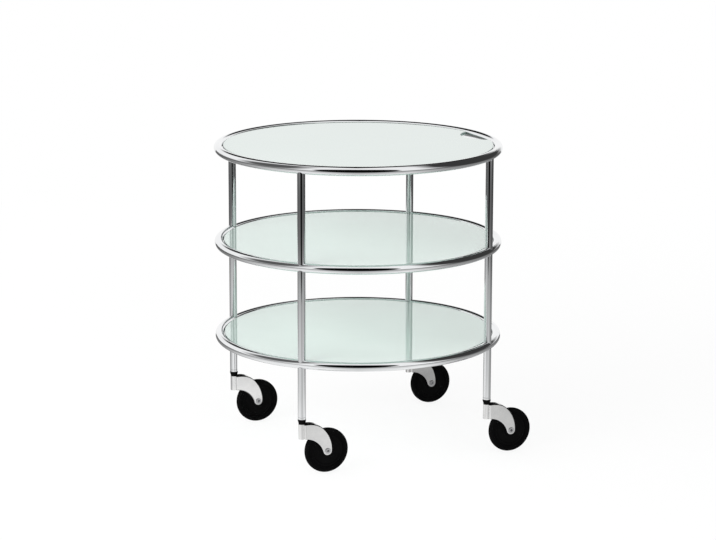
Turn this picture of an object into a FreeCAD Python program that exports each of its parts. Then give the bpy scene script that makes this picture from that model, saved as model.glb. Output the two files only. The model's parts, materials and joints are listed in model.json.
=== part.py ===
"""Round three-tier rolling table: chromed tube rings on four posts, glass shelves, swivel casters.

Millimetres, +Z up. The origin is on the floor, under the common axis of the rings.
The posts stand on the diagonals, and +X passes midway between two of them, through the
hand hold in the top shelf.
"""

import FreeCAD, Part
import math
import os

V = FreeCAD.Vector
UP = V(0, 0, 1)
ORIGIN = V(0, 0, 0)
TOLERANCE = 1e-4            # for telling edges apart

# Rings and posts
RING_DIA = 500.0            # centreline of the bent tube
RING_TUBE_DIA = 16.0
RING_TUBE_WALL = 1.5
LOWER_RING_HEIGHT = 198.5   # centreline of the lowest ring above the floor
TIER_PITCH = 171.0          # ring to ring
POST_TUBE_DIA = 14.0
POST_TUBE_WALL = 1.5
FIRST_POST_ANGLE = 45.0
POST_COUNT = 4

# Threaded joints between the rings and the posts
STUD_DIA = 6.0
STUD_GRIP = 12.0            # thread engaged in a plug
STUD_HOLE_CLEARANCE = 0.2   # radial, stud in the ring tube
PLUG_LENGTH = 16.0
PLUG_SETBACK = 0.5          # plug end face from the ring tube
RING_BUSH_DIA = 10.0        # threaded bush welded into the top ring
RING_BUSH_RISE = 4.0        # its end above the ring's centreline
STUD_END_GAP = 1.0          # stud end below the end of that bush

# Glass shelves
GLASS_THICKNESS = 6.0
GLASS_RISE = 5.3            # upper face above the ring's centreline
GLASS_EDGE_GAP = 0.5        # rim to the inner side of the ring tube
GLASS_EDGE_CHAMFER = 0.8
HOLD_RADIUS = 56.0          # round bite in the rim of the top shelf
HOLD_DEPTH = 35.5           # how far it reaches in from the rim
HOLD_CORNER_RADIUS = 9.0

# What carries a shelf: a welded lug with a pad on it, beside each post
PAD_DIA = 10.0
PAD_THICKNESS = 1.5
PAD_SETBACK = 10.5          # pad centre from the glass rim
LUG_THICKNESS = 3.0
LUG_SIDE_MARGIN = 3.0       # lug beside the pad
LUG_TIP_MARGIN = 2.0        # lug in front of the pad
LUG_CORNER_RADIUS = 5.0
LUG_NOTCH_GAP = 0.3         # lug to the post beside it

# Caster sockets in the legs
COLLAR_LIP = 0.25           # collar outside the leg tube
COLLAR_HEIGHT = 2.5
COLLAR_TAPER = 6.0          # height of the cone below the collar
COLLAR_TIP_WALL = 1.45      # socket wall at the cone's tip
COLLAR_SIDE_GAP = 0.5       # collar to the fork's crown beside it
SOCKET_DEPTH = 30.0
SOCKET_WALL = 1.45          # between the leg's bore and the stem's
STEM_CLEARANCE = 0.05       # radial, stem in socket
STEM_TOP_GAP = 2.5          # stem end below the socket's end
STEM_CHAMFER = 1.0
SWIVEL_GAP = 0.3            # collar above the fork's sleeve

# Snap ring that keeps the stem in the socket
SNAP_RING_DEPTH = 12.0      # lower face of the ring below the socket's end
SNAP_RING_THICKNESS = 1.6
SNAP_RING_BITE = 0.5        # how far it reaches into the stem
SNAP_RING_SPLIT = 2.0
SNAP_RING_PLAY = 0.3        # ring to the stem's groove, axially
GROOVE_CLEARANCE = 0.1      # radial, ring to either groove
GROOVE_WALL = 0.5           # socket left behind its groove

# Forks
CASTER_HEADING = -1.0       # direction in which the wheels trail, from +X
TRAIL = 45.0                # wheel axis behind the swivel axis
SLEEVE_WALL = 2.2           # round the stem
SLEEVE_RISE = 24.3          # foot of the sleeve above the wheel's axis
FORK_EYE_RADIUS = 8.0       # round end of a cheek, about the axle
FORK_START = 2.0            # front of the crown from the swivel axis
FORK_CHEEK = 2.2
CROWN_WEB = 8.0             # top of the sleeve above the wheel's slot
CROWN_RISE = 0.4            # top of the crown above the sleeve
CROWN_CENTRE = 8.0          # highest point from the swivel axis
CROWN_RADIUS = 61.0
CROWN_END = 21.0            # where the crown turns into the shoulder
SHOULDER_RADIUS = 32.5
SHOULDER_SLOPE = 45.0       # slope at the shoulder's lower end
FORK_HOLLOW_START = 3.2     # start of the hollow lower edge
FORK_FRONT_ROUND = 3.2
FORK_EDGE_ROUND = 1.6

# Wheels
WHEEL_DIA = 80.0
WHEEL_WIDTH = 12.0
WHEEL_RIM_GAP = 3.0         # tyre to the crown of the fork
TYRE_DEPTH = 10.5           # rubber outside the core
TYRE_SHOULDER_RADIUS = 5.5
RIM_INSET = 1.25            # rim edge in from the tyre's side
RIM_THICKNESS = 4.0
WEB_INSET = 2.5             # web face in from the tyre's side
HUB_DIA = 22.0
BUSH_DIA = 12.0
AXLE_DIA = 8.0
AXLE_BORE_DIA = 4.6
AXLE_CLEARANCE = 0.05       # radial, axle in bush
AXLE_FLANGE_LIP = 1.2       # flange outside the axle
AXLE_FLANGE_THICKNESS = 1.1
WASHER_DIA = 15.0
WASHER_THICKNESS = 0.5
WASHER_CLEARANCE = 0.1      # radial, washer on axle
WASHER_PLAY = 0.2           # washer to hub

# Values that follow from the sizes above
RING_RADIUS = RING_DIA / 2
RING_TUBE_RADIUS = RING_TUBE_DIA / 2
POST_RADIUS = POST_TUBE_DIA / 2
POST_BORE_RADIUS = POST_RADIUS - POST_TUBE_WALL
PLUG_START = RING_TUBE_RADIUS + PLUG_SETBACK
STUD_RADIUS = STUD_DIA / 2
STUD_REACH = PLUG_START + STUD_GRIP
GLASS_RADIUS = RING_RADIUS - RING_TUBE_RADIUS - GLASS_EDGE_GAP
GLASS_UNDERSIDE = GLASS_RISE - GLASS_THICKNESS
HOLD_CENTRE = GLASS_RADIUS - HOLD_DEPTH + HOLD_RADIUS
PAD_RADIUS = PAD_DIA / 2
PAD_CENTRE = GLASS_RADIUS - PAD_SETBACK
LUG_TOP = GLASS_UNDERSIDE - PAD_THICKNESS
LUG_TIP = PAD_CENTRE - PAD_RADIUS - LUG_TIP_MARGIN
LUG_WIDTH = PAD_DIA + 2 * LUG_SIDE_MARGIN
WHEEL_RADIUS = WHEEL_DIA / 2
WHEEL_SIDE = WHEEL_WIDTH / 2
TYRE_SEAT_RADIUS = WHEEL_RADIUS - TYRE_DEPTH
BUSH_RADIUS = BUSH_DIA / 2
AXLE_RADIUS = AXLE_DIA / 2
FORK_INNER = WHEEL_SIDE + WASHER_PLAY + WASHER_THICKNESS
FORK_OUTER = FORK_INNER + FORK_CHEEK
SLOT_RADIUS = WHEEL_RADIUS + WHEEL_RIM_GAP
SOCKET_BORE_RADIUS = POST_BORE_RADIUS - SOCKET_WALL
STEM_RADIUS = SOCKET_BORE_RADIUS - STEM_CLEARANCE
SLEEVE_RADIUS = STEM_RADIUS + SLEEVE_WALL
SLEEVE_TOP = WHEEL_RADIUS + SLOT_RADIUS + CROWN_WEB
SLOT_REACH = max(SLOT_RADIUS ** 2 - (TRAIL - SLEEVE_RADIUS) ** 2, 0.0)
SLEEVE_BOTTOM = WHEEL_RADIUS + max(SLEEVE_RISE, math.sqrt(SLOT_REACH))
COLLAR_RADIUS = POST_RADIUS + COLLAR_LIP
COLLAR_TIP = SLEEVE_TOP + SWIVEL_GAP
COLLAR_FOOT = COLLAR_TIP + COLLAR_TAPER
LEG_END_HEIGHT = COLLAR_FOOT + COLLAR_HEIGHT
SOCKET_END = LEG_END_HEIGHT + SOCKET_DEPTH
STEM_TOP = SOCKET_END - STEM_TOP_GAP
SNAP_RING_FLOOR = SOCKET_END - SNAP_RING_DEPTH
SNAP_RING_TOP = SNAP_RING_FLOOR + SNAP_RING_THICKNESS
SNAP_RING_INNER = STEM_RADIUS - SNAP_RING_BITE
GROOVE_RADIUS = POST_BORE_RADIUS - GROOVE_WALL
SNAP_RING_OUTER = GROOVE_RADIUS - GROOVE_CLEARANCE

TIERS = {
    "lower": LOWER_RING_HEIGHT,
    "middle": LOWER_RING_HEIGHT + TIER_PITCH,
    "top": LOWER_RING_HEIGHT + 2 * TIER_PITCH,
}
POST_ANGLES = [FIRST_POST_ANGLE + k * 360.0 / POST_COUNT for k in range(POST_COUNT)]


def polar(radius, angle, height=0.0):
    """Point at a radius and an angle in degrees about the table's axis."""
    turn = math.radians(angle)
    return V(radius * math.cos(turn), radius * math.sin(turn), height)


def cylinder(radius, low, high, at=ORIGIN):
    """Upright cylinder between two heights."""
    return Part.makeCylinder(radius, high - low, V(at.x, at.y, low))


def tube(outer, inner, low, high, at=ORIGIN):
    """Upright tube between two heights."""
    return cylinder(outer, low, high, at).cut(cylinder(inner, low, high, at))


def ring_rod(height, radius=RING_TUBE_RADIUS):
    """Solid torus on a ring's centreline."""
    return Part.makeTorus(RING_RADIUS, radius, V(0, 0, height), UP)


def on_each_post(shape):
    """Copies of a shape that is drawn at angle 0, one at each post."""
    copies = []
    for angle in POST_ANGLES:
        copy = shape.copy()
        copy.rotate(ORIGIN, UP, angle)
        copies.append(copy)
    return copies


def upright_edges(shape):
    """Straight edges of a shape that stand along Z."""
    return [e for e in shape.Edges if e.BoundBox.ZLength > TOLERANCE
            and e.BoundBox.XLength < TOLERANCE and e.BoundBox.YLength < TOLERANCE]


def drill(shape, holes):
    """Cut each hole in turn."""
    for hole in holes:
        shape = shape.cut(hole)
    return shape


def make_ring(tier):
    """Bent tube ring with its stud holes. The top one has larger holes for its bushes, from below."""
    height = TIERS[tier]
    ring = ring_rod(height).cut(ring_rod(height, RING_TUBE_RADIUS - RING_TUBE_WALL))
    at = polar(RING_RADIUS, 0)
    if tier == "top":
        hole = cylinder(RING_BUSH_DIA / 2, height - RING_TUBE_DIA, height, at)
    else:
        radius = STUD_RADIUS + STUD_HOLE_CLEARANCE
        hole = cylinder(radius, height - RING_TUBE_DIA, height + RING_TUBE_DIA, at)
    return drill(ring, on_each_post(hole))


def make_post(lower, upper, angle):
    """Post tube with both ends coped to the ring tubes."""
    at = polar(RING_RADIUS, angle)
    post = tube(POST_RADIUS, POST_BORE_RADIUS, TIERS[lower], TIERS[upper], at)
    return post.cut(ring_rod(TIERS[lower])).cut(ring_rod(TIERS[upper]))


def make_leg(angle):
    """Leg tube below the lowest ring, coped at its top and square at its foot."""
    at = polar(RING_RADIUS, angle)
    leg = tube(POST_RADIUS, POST_BORE_RADIUS, LEG_END_HEIGHT, TIERS["lower"], at)
    return leg.cut(ring_rod(TIERS["lower"]))


def make_plugs():
    """Threaded plugs in the tube ends beside every ring."""
    plugs = []
    at = polar(RING_RADIUS, 0)
    for tier, height in TIERS.items():
        low = height - PLUG_START - PLUG_LENGTH
        plugs += on_each_post(tube(POST_BORE_RADIUS, STUD_RADIUS, low, low + PLUG_LENGTH, at))
        if tier != "top":
            low = height + PLUG_START
            plugs += on_each_post(tube(POST_BORE_RADIUS, STUD_RADIUS, low, low + PLUG_LENGTH, at))
    return plugs


def make_studs():
    """Studs that clamp the rings between the posts. Those of the top ring end in its bushes."""
    studs = []
    at = polar(RING_RADIUS, 0)
    for tier, height in TIERS.items():
        rise = RING_BUSH_RISE - STUD_END_GAP if tier == "top" else STUD_REACH
        studs += on_each_post(cylinder(STUD_RADIUS, height - STUD_REACH, height + rise, at))
    return studs


def make_ring_bushes():
    """Threaded bushes set into the underside of the top ring, flush with its tube."""
    height = TIERS["top"]
    at = polar(RING_RADIUS, 0)
    bush = tube(RING_BUSH_DIA / 2, STUD_RADIUS, height - RING_TUBE_DIA, height + RING_BUSH_RISE, at)
    return on_each_post(bush.common(ring_rod(height)).cut(make_ring("top")))


def make_lugs():
    """Flat lugs welded inside the rings, under the shelves, and notched round the posts."""
    start = V(LUG_TIP, -LUG_WIDTH / 2, 0)
    lug = Part.makeBox(RING_RADIUS - LUG_TIP, LUG_WIDTH, LUG_THICKNESS, start)
    corners = [e for e in upright_edges(lug) if e.BoundBox.XMax < LUG_TIP + TOLERANCE]
    lug = lug.makeFillet(LUG_CORNER_RADIUS, corners)
    notch = cylinder(POST_RADIUS + LUG_NOTCH_GAP, 0, LUG_THICKNESS, polar(RING_RADIUS, 0))
    lug = lug.cut(notch)
    lugs = []
    for height in TIERS.values():
        copy = lug.copy()
        copy.translate(V(0, 0, height + LUG_TOP - LUG_THICKNESS))
        lugs += on_each_post(copy.cut(ring_rod(height)))
    return lugs


def make_pads():
    """Soft pads between the lugs and the shelves."""
    pads = []
    at = polar(PAD_CENTRE, 0)
    for height in TIERS.values():
        pads += on_each_post(cylinder(PAD_RADIUS, height + LUG_TOP, height + GLASS_UNDERSIDE, at))
    return pads


def make_glass(tier):
    """Round shelf with ground edges. The top one has the hand hold bitten out of its rim."""
    low = TIERS[tier] + GLASS_UNDERSIDE
    high = TIERS[tier] + GLASS_RISE
    glass = cylinder(GLASS_RADIUS, low, high)
    if tier == "top":
        glass = glass.cut(cylinder(HOLD_RADIUS, low, high, V(HOLD_CENTRE, 0, 0)))
        glass = glass.makeFillet(HOLD_CORNER_RADIUS, upright_edges(glass))
    rims = [e for e in glass.Edges if e.BoundBox.ZLength < TOLERANCE]
    return glass.makeChamfer(GLASS_EDGE_CHAMFER, rims)


def make_socket():
    """Plastic socket of a leg: plug in the tube, collar below it, bore and groove for the stem."""
    body = cylinder(POST_BORE_RADIUS, LEG_END_HEIGHT, SOCKET_END)
    body = body.fuse(cylinder(COLLAR_RADIUS, COLLAR_FOOT, LEG_END_HEIGHT))
    tip_radius = SOCKET_BORE_RADIUS + COLLAR_TIP_WALL
    cone = Part.makeCone(tip_radius, COLLAR_RADIUS, COLLAR_TAPER, V(0, 0, COLLAR_TIP))
    body = body.fuse(cone).removeSplitter()
    groove = cylinder(GROOVE_RADIUS, SNAP_RING_FLOOR, SNAP_RING_TOP + SNAP_RING_PLAY)
    return drill(body, [cylinder(SOCKET_BORE_RADIUS, COLLAR_TIP, SOCKET_END), groove])


def make_snap_ring():
    """Split ring that lies in the socket's groove and reaches into the stem's."""
    ring = tube(SNAP_RING_OUTER, SNAP_RING_INNER, SNAP_RING_FLOOR, SNAP_RING_TOP)
    corner = V(0, -SNAP_RING_SPLIT / 2, SNAP_RING_FLOOR)
    return ring.cut(Part.makeBox(GROOVE_RADIUS, SNAP_RING_SPLIT, SNAP_RING_THICKNESS, corner))


def make_stem():
    """Swivel pin, fast in the fork's sleeve, with a groove for the snap ring."""
    stem = cylinder(STEM_RADIUS, SLEEVE_BOTTOM, STEM_TOP)
    ends = [e for e in stem.Edges if e.BoundBox.ZMin > STEM_TOP - TOLERANCE]
    stem = stem.makeChamfer(STEM_CHAMFER, ends)
    low = SNAP_RING_FLOOR - SNAP_RING_PLAY
    high = SNAP_RING_TOP + SNAP_RING_PLAY
    return stem.cut(tube(GROOVE_RADIUS, SNAP_RING_INNER - GROOVE_CLEARANCE, low, high))


def arc_through(centre, radius, start, end):
    """Arc in the XZ plane between two directions in degrees, by way of the middle one."""
    turns = [math.radians(a) for a in (start, (start + end) / 2, end)]
    points = [V(centre[0] + radius * math.cos(t), 0, centre[1] + radius * math.sin(t)) for t in turns]
    return Part.Arc(*points)


def direction(start, end):
    """Direction in degrees from one (x, z) point to another."""
    return math.degrees(math.atan2(end[1] - start[1], end[0] - start[0]))


def fork_outline():
    """Side outline of the fork's crown and cheeks, from the swivel axis to round the axle.

    The crown, shoulder and flank are arcs that run into each other smoothly. The flank and the
    hollow lower edge both touch the round eye about the axle.
    """
    axle = (TRAIL, WHEEL_RADIUS)
    eye = FORK_EYE_RADIUS
    crown_top = SLEEVE_TOP + CROWN_RISE
    crown = (CROWN_CENTRE, crown_top - CROWN_RADIUS)
    crown_start = 180 - math.degrees(math.acos((CROWN_CENTRE - FORK_START) / CROWN_RADIUS))
    crown_end = math.degrees(math.acos((CROWN_END - CROWN_CENTRE) / CROWN_RADIUS))
    turn = math.radians(crown_end)
    step = CROWN_RADIUS - SHOULDER_RADIUS
    shoulder = (crown[0] + step * math.cos(turn), crown[1] + step * math.sin(turn))
    shoulder_end = 90 - SHOULDER_SLOPE
    turn = math.radians(shoulder_end)
    normal = (math.cos(turn), math.sin(turn))
    flank_top = (shoulder[0] + SHOULDER_RADIUS * normal[0], shoulder[1] + SHOULDER_RADIUS * normal[1])
    arm = (flank_top[0] - axle[0], flank_top[1] - axle[1])
    along = arm[0] * normal[0] + arm[1] * normal[1]
    flank_radius = (arm[0] ** 2 + arm[1] ** 2 - eye ** 2) / (2 * (along - eye))
    flank = (flank_top[0] - flank_radius * normal[0], flank_top[1] - flank_radius * normal[1])
    flank_end = direction(flank, axle)
    rise = SLEEVE_BOTTOM - WHEEL_RADIUS + eye
    run = TRAIL - FORK_HOLLOW_START
    drop = (run ** 2 - rise ** 2) / (2 * rise)
    hollow = (FORK_HOLLOW_START, WHEEL_RADIUS - drop)
    hollow_radius = SLEEVE_BOTTOM - hollow[1]
    hollow_end = direction(hollow, axle)
    arcs = [
        arc_through(crown, CROWN_RADIUS, crown_start, crown_end),
        arc_through(shoulder, SHOULDER_RADIUS, crown_end, shoulder_end),
        arc_through(flank, flank_radius, shoulder_end, flank_end),
        arc_through(axle, eye, flank_end, hollow_end - 180),
        arc_through(hollow, hollow_radius, hollow_end, 90),
    ]
    front_top = arcs[0].value(arcs[0].FirstParameter)
    front_low = V(FORK_START, 0, SLEEVE_BOTTOM)
    lines = [
        Part.LineSegment(V(FORK_HOLLOW_START, 0, SLEEVE_BOTTOM), front_low),
        Part.LineSegment(front_low, V(FORK_START, 0, front_top.z)),
    ]
    return Part.Wire([curve.toShape() for curve in arcs + lines])


def flat_rims(shape, offset):
    """Edges that lie in either of the planes at an offset across the caster."""
    return [e for e in shape.Edges if e.BoundBox.YLength < TOLERANCE
            and abs(abs(e.CenterOfMass.y) - offset) < TOLERANCE]


def make_fork():
    """Cast fork: sleeve, crown and two cheeks with the wheel's slot between them."""
    block = Part.Face(fork_outline()).extrude(V(0, 2 * FORK_OUTER, 0))
    block.translate(V(0, -FORK_OUTER, 0))
    block = block.makeFillet(FORK_FRONT_ROUND, upright_edges(block))
    sides = [e for e in flat_rims(block, FORK_OUTER) if e.BoundBox.XMax > CROWN_CENTRE]
    block = block.makeFillet(FORK_EDGE_ROUND, sides)
    sleeve = cylinder(SLEEVE_RADIUS, SLEEVE_BOTTOM, SLEEVE_TOP)
    fork = block.fuse(sleeve)
    slot_start = V(TRAIL, -FORK_INNER, WHEEL_RADIUS)
    slot = Part.makeCylinder(SLOT_RADIUS, 2 * FORK_INNER, slot_start, V(0, 1, 0))
    eye_start = V(TRAIL, -FORK_OUTER, WHEEL_RADIUS)
    eye = Part.makeCylinder(AXLE_RADIUS, 2 * FORK_OUTER, eye_start, V(0, 1, 0))
    stem_bore = cylinder(STEM_RADIUS, SLEEVE_BOTTOM, SLEEVE_TOP)
    spot_face = cylinder(COLLAR_RADIUS + COLLAR_SIDE_GAP, SLEEVE_TOP, SLEEVE_TOP + 2 * CROWN_RISE)
    return drill(fork, [slot, eye, stem_bore, spot_face]).removeSplitter()


def wheel_solid(points):
    """Turned piece of the wheel from (radius, offset) points about the wheel's axis."""
    outline = [V(TRAIL + radius, offset, WHEEL_RADIUS) for radius, offset in points]
    face = Part.Face(Part.makePolygon(outline + outline[:1]))
    return face.revolve(V(TRAIL, 0, WHEEL_RADIUS), V(0, 1, 0), 360)


def mirrored(points):
    """The same outline on the wheel's other side, run backwards."""
    return [(radius, -offset) for radius, offset in reversed(points)]


def wheel_tube(outer, inner, half_width):
    """Plain sleeve about the wheel's axis."""
    return wheel_solid([(inner, -half_width), (outer, -half_width), (outer, half_width), (inner, half_width)])


def make_tyre():
    """Rubber tyre with rounded shoulders."""
    tyre = wheel_tube(WHEEL_RADIUS, TYRE_SEAT_RADIUS, WHEEL_SIDE)
    rims = flat_rims(tyre, WHEEL_SIDE)
    shoulders = [e for e in rims if e.BoundBox.ZLength > 2 * TYRE_SEAT_RADIUS + TOLERANCE]
    return tyre.makeFillet(TYRE_SHOULDER_RADIUS, shoulders)


def make_core():
    """Moulded wheel core: rim under the tyre, web and hub."""
    inside = TYRE_SEAT_RADIUS - RIM_THICKNESS
    hub = HUB_DIA / 2
    rim_side = WHEEL_SIDE - RIM_INSET
    web_side = WHEEL_SIDE - WEB_INSET
    half = [(TYRE_SEAT_RADIUS, rim_side), (inside, rim_side), (inside, web_side),
            (hub, web_side), (hub, WHEEL_SIDE), (BUSH_RADIUS, WHEEL_SIDE)]
    return wheel_solid(half + mirrored(half))


def make_axle():
    """Hollow axle rivet with a rolled flange outside each cheek."""
    bore = AXLE_BORE_DIA / 2
    flange = AXLE_RADIUS + AXLE_FLANGE_LIP
    end = FORK_OUTER + AXLE_FLANGE_THICKNESS
    half = [(bore, end), (flange, end), (flange, FORK_OUTER), (AXLE_RADIUS, FORK_OUTER)]
    axle = wheel_solid(half + mirrored(half))
    rolled = [e for e in flat_rims(axle, end) if e.BoundBox.ZLength > AXLE_BORE_DIA + TOLERANCE]
    return axle.makeFillet(AXLE_FLANGE_THICKNESS / 2, rolled)


def make_washers():
    """Thin washers between the hub and the cheeks, lying against the cheeks."""
    inner = AXLE_RADIUS + WASHER_CLEARANCE
    washers = []
    for side in (-1, 1):
        near = side * (FORK_INNER - WASHER_THICKNESS)
        far = side * FORK_INNER
        points = [(inner, near), (WASHER_DIA / 2, near), (WASHER_DIA / 2, far), (inner, far)]
        washers.append(wheel_solid(points))
    return washers


def make_caster():
    """Pieces of one caster, drawn about the swivel axis with the wheel trailing along +X."""
    return {
        "caster_socket": [make_socket()],
        "swivel_stem": [make_stem()],
        "caster_fork": [make_fork()],
        "wheel_axle": [make_axle()],
        "wheel_washers": make_washers(),
        "wheel_core": [make_core()],
        "hub_bush": [wheel_tube(BUSH_RADIUS, AXLE_RADIUS + AXLE_CLEARANCE, WHEEL_SIDE)],
        "wheel_tyre": [make_tyre()],
    }


def under_post(shapes, angle):
    """Copies of caster pieces under a post, turned to the heading of the wheels."""
    copies = []
    for shape in shapes:
        copy = shape.copy()
        copy.rotate(ORIGIN, UP, CASTER_HEADING)
        copy.translate(polar(RING_RADIUS, angle))
        copies.append(copy)
    return copies


def export(name, shapes):
    """Write the solids of one node."""
    shape = shapes[0] if len(shapes) == 1 else Part.makeCompound(shapes)
    shape.exportStep(os.path.join("parts", name + ".step"))


def main():
    os.makedirs("parts", exist_ok=True)
    for tier in TIERS:
        export(tier + "_ring", [make_ring(tier)])
        export(tier + "_glass", [make_glass(tier)])
    for number, angle in enumerate(POST_ANGLES, start=1):
        export(f"upper_post_{number}", [make_post("middle", "top", angle)])
        export(f"middle_post_{number}", [make_post("lower", "middle", angle)])
        export(f"leg_{number}", [make_leg(angle)])
    export("threaded_plugs", make_plugs())
    export("joint_studs", make_studs())
    export("top_ring_bushes", make_ring_bushes())
    export("shelf_lugs", make_lugs())
    export("shelf_pads", make_pads())
    snap_ring = make_snap_ring()
    export("snap_rings", [s for angle in POST_ANGLES for s in under_post([snap_ring], angle)])
    caster = make_caster()
    for number, angle in enumerate(POST_ANGLES, start=1):
        for piece, shapes in caster.items():
            export(f"{piece}_{number}", under_post(shapes, angle))


main()
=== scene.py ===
"""Looks of a round three-tier rolling table.

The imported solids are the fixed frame. Chromed rings, posts and legs, caster sockets, tyres and
wheel cores are new surfaces laid over their solids. Glass, forks, rivets, lugs and the small steel
pieces keep their solids and get their finishes here. Metres, +Z up, +X towards the hand hold.
"""

import json
import logging
import math
from dataclasses import dataclass
from enum import Enum

import bpy
import numpy as np
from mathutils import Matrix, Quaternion, Vector

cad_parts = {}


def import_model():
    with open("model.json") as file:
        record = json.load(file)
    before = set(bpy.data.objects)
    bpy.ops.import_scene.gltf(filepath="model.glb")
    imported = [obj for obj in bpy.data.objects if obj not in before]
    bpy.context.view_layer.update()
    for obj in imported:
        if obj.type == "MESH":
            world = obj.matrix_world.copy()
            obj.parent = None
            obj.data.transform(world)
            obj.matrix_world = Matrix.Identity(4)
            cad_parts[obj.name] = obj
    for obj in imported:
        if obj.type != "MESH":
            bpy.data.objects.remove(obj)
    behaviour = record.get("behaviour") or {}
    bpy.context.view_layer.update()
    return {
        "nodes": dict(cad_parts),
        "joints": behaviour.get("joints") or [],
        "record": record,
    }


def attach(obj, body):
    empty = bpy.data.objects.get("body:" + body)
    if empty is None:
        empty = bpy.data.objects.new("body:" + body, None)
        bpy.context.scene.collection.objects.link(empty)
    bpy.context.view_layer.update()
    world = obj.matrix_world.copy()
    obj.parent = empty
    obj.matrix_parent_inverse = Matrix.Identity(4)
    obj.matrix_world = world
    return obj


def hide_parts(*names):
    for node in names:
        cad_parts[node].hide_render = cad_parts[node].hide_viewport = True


LOG = logging.getLogger("rolling_table")
IMAGE_WIDTH = 716
UP = np.array((0.0, 0.0, 1.0))
AHEAD = np.array((1.0, 0.0, 0.0))
WHITE = (1.0, 1.0, 1.0, 1.0)

# Length of the flat kept beside a rounded corner: a share of its rounding, up to a limit.
GUARD_SHARE = 0.4
GUARD_LIMIT = 0.0001

# Share of the fine grain in the roughness; the broad patches have the rest.
FINE_SHARE = 0.4

# Number of mirror images, counted from the eye, below which an image is the first.
SECOND_IMAGE = 1.5

# Corner of an outline: distance from the axis, offset along it, length rounded off.
Corner = tuple[float, float, float]


class Slot(Enum):
    """Finishes named in the part's record."""

    CHROME = "chrome"
    GLASS = "shelf_glass"
    FORK = "fork_metal"
    STEEL = "bright_steel"
    PLASTIC = "black_plastic"
    RUBBER = "tyre_rubber"
    SILICONE = "pad_silicone"


class Tier(Enum):
    """Levels of the table, with the height of each ring's centreline."""

    LOWER = 0.1985
    MIDDLE = 0.3695
    TOP = 0.5405


# Surfaces


def unit(vectors: np.ndarray) -> np.ndarray:
    """Vectors divided by their own lengths.

    Args:
        vectors: array whose last axis holds the components.

    Returns:
        Array of the same shape with lengths of 1.
    """
    return vectors / np.linalg.norm(vectors, axis=-1, keepdims=True)


def circle_loop(radius: float, centre: tuple[float, float], steps: int) -> np.ndarray:
    """Round outline: centre plus radius times the cosine and sine of an angle.

    Args:
        radius: radius of the outline.
        centre: its centre as (distance from the axis, offset along it).
        steps: number of points.

    Returns:
        Array (steps, 2).
    """
    turn = np.linspace(0.0, 2 * np.pi, steps, endpoint=False)
    return np.stack((centre[0] + radius * np.cos(turn), centre[1] + radius * np.sin(turn)), axis=1)


def rounded_loop(corners: list[Corner], steps: int = 5) -> np.ndarray:
    """Closed outline whose corners are rounded.

    Each corner C becomes the circular arc (1-t)^2 A + 2wt(1-t) C + t^2 B over the sum of its
    weights, where A and B lie on its two sides and w is the sine of half the corner's angle.
    One more point beyond A and B keeps the sides flat.

    Args:
        corners: the corners in order.
        steps: points along a rounded corner.

    Returns:
        Array (points, 2).
    """
    data = np.array(corners)
    at, radius = data[:, :2], data[:, 2:]
    back = unit(np.roll(at, 1, axis=0) - at)
    ahead = unit(np.roll(at, -1, axis=0) - at)
    t = np.linspace(0.0, 1.0, steps)[None, :, None]
    first, last = (at + radius * back)[:, None], (at + radius * ahead)[:, None]
    weight = np.sqrt((1 - np.sum(back * ahead, axis=1)) / 2)[:, None, None]
    bend = 2 * weight * t * (1 - t)
    curve = (1 - t) ** 2 * first + bend * at[:, None] + t ** 2 * last
    curve = curve / ((1 - t) ** 2 + bend + t ** 2)
    guard = radius + np.minimum(GUARD_SHARE * radius, GUARD_LIMIT)
    guard_in = (at + guard * back)[:, None]
    guard_out = (at + guard * ahead)[:, None]
    return np.concatenate((guard_in, curve, guard_out), axis=1).reshape(-1, 2)


def mirrored(half: list[Corner]) -> list[Corner]:
    """Corners of the other half of an outline, with their offsets turned round."""
    return [(distance, -offset, radius) for distance, offset, radius in reversed(half)]


@dataclass(frozen=True)
class Axis:
    """A line that outlines are carried round.

    Attributes:
        origin: a point on the line.
        along: its direction.
        side: direction in which an outline's distance is drawn at angle 0.
    """

    origin: np.ndarray
    along: np.ndarray
    side: np.ndarray

    def carry(self, outline: np.ndarray, steps: int) -> np.ndarray:
        """Outline carried round the line.

        Point (a, s) is the origin, plus offset(s) along the line, plus distance(s) in the
        direction that the side takes when it is turned by a.

        Args:
            outline: array (points, 2) of (distance, offset).
            steps: copies of the outline in a full turn.

        Returns:
            Array (steps, points, 3), closed both ways.
        """
        turn = np.linspace(0.0, 2 * np.pi, steps, endpoint=False)[:, None, None]
        across = np.cross(self.along, self.side)
        spoke = np.cos(turn) * self.side + np.sin(turn) * across
        return self.origin + outline[None, :, :1] * spoke + outline[None, :, 1:] * self.along


def loop_faces(points: np.ndarray) -> np.ndarray:
    """Four-sided faces of a grid that is closed both ways, turned so that they face outwards.

    The sign of the enclosed volume, a sum of triple products, says which way they face.

    Args:
        points: array (rows, columns, 3).

    Returns:
        Array (faces, 4) of point numbers.
    """
    rows, columns = points.shape[:2]
    number = np.arange(rows * columns).reshape(rows, columns)
    right = np.roll(number, -1, axis=1)
    down = np.roll(number, -1, axis=0)
    faces = np.stack((number, down, np.roll(right, -1, axis=0), right), axis=-1).reshape(-1, 4)
    flat = points.reshape(-1, 3) - points.mean(axis=(0, 1))
    a, b, c, d = (flat[faces[:, k]] for k in range(4))
    volume = np.einsum("ij,ij->", a, np.cross(b, c)) + np.einsum("ij,ij->", a, np.cross(c, d))
    return faces if volume > 0 else faces[:, ::-1]


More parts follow.
